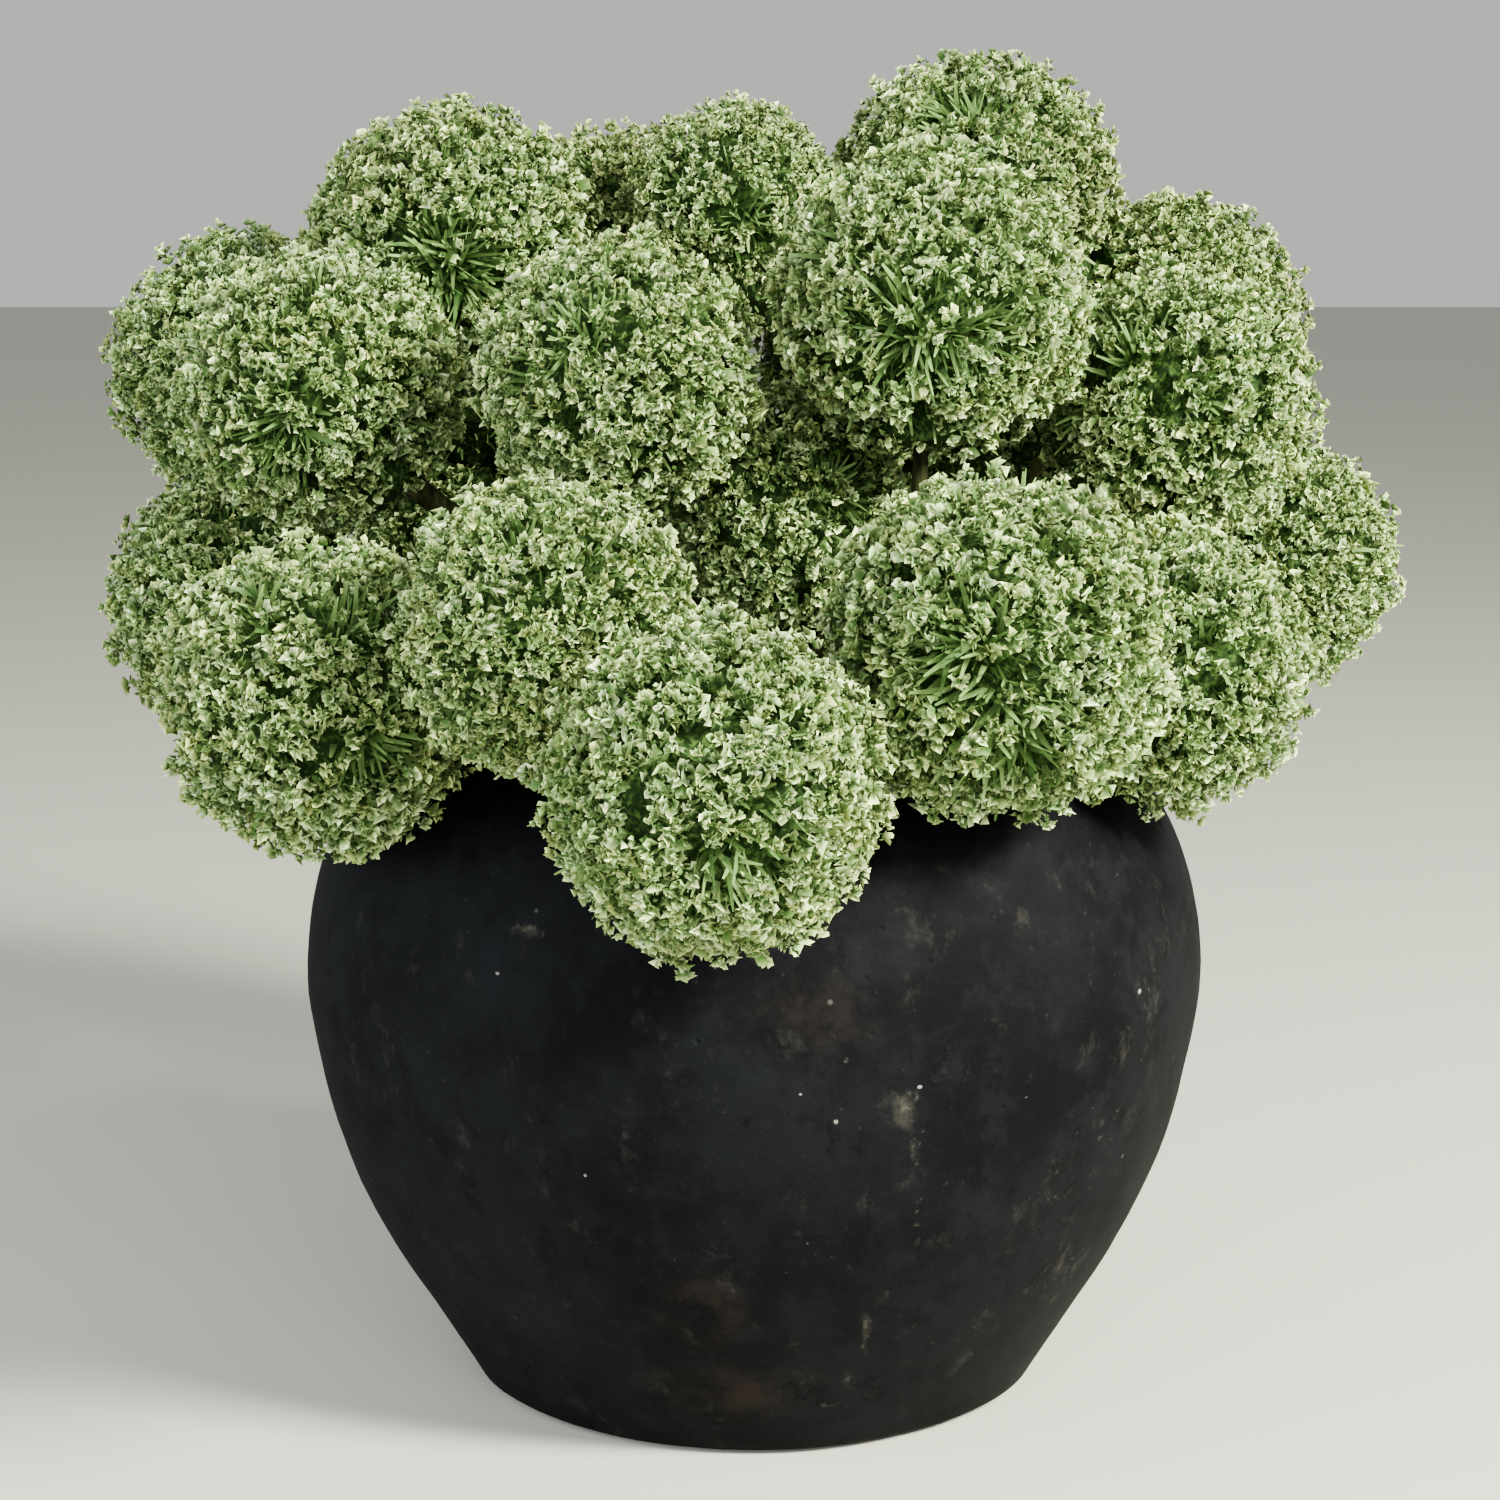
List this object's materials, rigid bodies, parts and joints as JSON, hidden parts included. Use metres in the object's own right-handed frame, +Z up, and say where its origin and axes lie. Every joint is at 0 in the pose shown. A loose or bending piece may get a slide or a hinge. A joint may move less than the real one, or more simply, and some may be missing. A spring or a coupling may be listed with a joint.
{
  "type": "potted allium",
  "caption": "Round dark clay jar, widest above its middle, filled with a dense dome of pale green globe flower heads that hang over its rim on short curved stems",
  "frame": {"origin": "centre of the jar's flat foot, on the ground", "axes": "+Z up along the jar's axis; the picture looks along +Y, so -Y is the front and +X is the picture's right"},
  "size_m": [0.3969, 0.4051, 0.3869],
  "materials": {
    "pot": "dark unglazed clay, matte, lightly dusted",
    "soil": "dark brown crumbly filling, matte",
    "stem": "green stems, satin",
    "head": "pale green florets on green stalks, matte"
  },
  "bodies": {
    "root": {"pot": "pot", "soil": "soil", "stem_01": "stem", "stem_02": "stem", "stem_03": "stem", "stem_04": "stem", "stem_05": "stem", "stem_06": "stem", "stem_07": "stem", "stem_08": "stem", "stem_09": "stem", "stem_10": "stem", "stem_11": "stem", "stem_12": "stem", "stem_13": "stem", "stem_14": "stem", "stem_15": "stem", "stem_16": "stem", "stem_17": "stem", "stem_18": "stem", "stem_19": "stem", "stem_20": "stem", "stem_21": "stem", "stem_22": "stem", "stem_23": "stem", "head_01": "head", "head_02": "head", "head_03": "head", "head_04": "head", "head_05": "head", "head_06": "head", "head_07": "head", "head_08": "head", "head_09": "head", "head_10": "head", "head_11": "head", "head_12": "head", "head_13": "head", "head_14": "head", "head_15": "head", "head_16": "head", "head_17": "head", "head_18": "head", "head_19": "head", "head_20": "head", "head_21": "head", "head_22": "head", "head_23": "head"}
  },
  "joints": []
}
